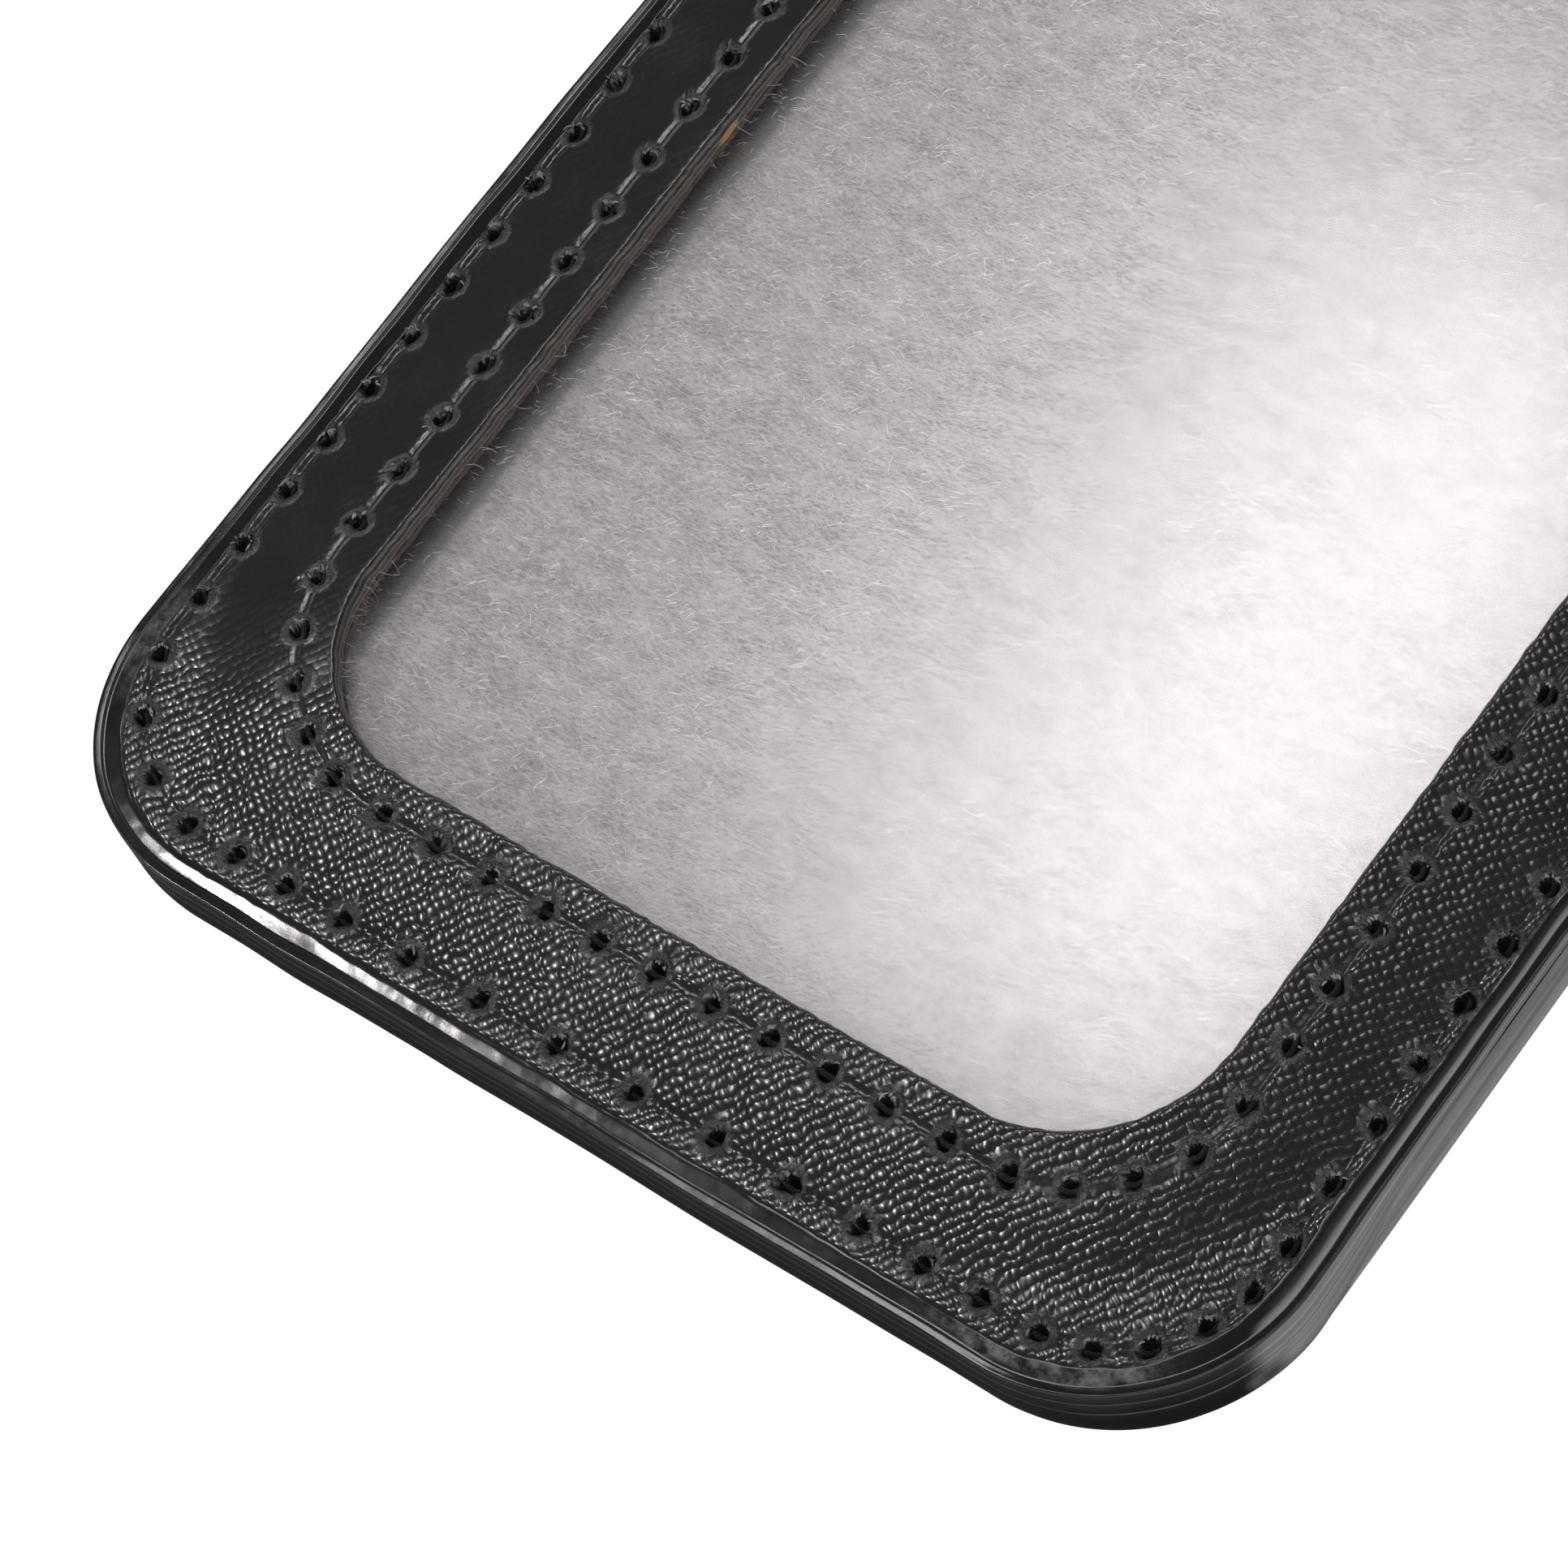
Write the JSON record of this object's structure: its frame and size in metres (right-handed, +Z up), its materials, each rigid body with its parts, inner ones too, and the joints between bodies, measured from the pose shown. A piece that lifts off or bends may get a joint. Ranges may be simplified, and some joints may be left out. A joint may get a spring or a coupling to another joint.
{
  "type": "card holder",
  "caption": "Flat leatherette card holder with a sewn clear window, a card mouth below a header, a slot in the back, and a metal ring on a riveted tab for a neck strap.",
  "frame": {"origin": "on the surface that the holder lies on, under the middle of its whole width and length, ring included", "axes": "+X across the width, +Y towards the strap ring, +Z up out of the window"},
  "size_m": [0.07, 0.123, 0.0054],
  "materials": {
    "leatherette": "pebbled satin",
    "edge_paint": "glossy, hand painted",
    "thread": "matte",
    "fibreboard": "raw fibre edge",
    "film": "clear, glossy",
    "lining": "brushed",
    "board": "matte",
    "backing": "matte",
    "metal": "nickel plated"
  },
  "bodies": {
    "holder": {"front_panel": "leatherette", "front_fibreboard": "fibreboard", "window_film": "film", "window_top_thread": "thread", "window_bobbin_thread": "thread", "front_edge_paint": "edge_paint", "gusset": "edge_paint", "card_lining": "lining", "header_facing": "leatherette", "back_board": "board", "pocket_backing": "backing", "back_pocket_panel": "leatherette", "back_upper_panel": "leatherette", "back_edge_paint": "edge_paint", "perimeter_top_thread": "thread", "perimeter_bobbin_thread": "thread", "ring_tab": "leatherette", "rivet_post": "metal", "rivet_cap": "metal"},
    "ring": {"strap_ring": "metal"}
  },
  "joints": [
    {"name": "ring_swing", "type": "hinge", "parent": "holder", "child": "ring", "pos_m": [0, 0.05091, 0.00305], "axis": [1, 0, 0], "range_deg": [-90, 170]}
  ]
}
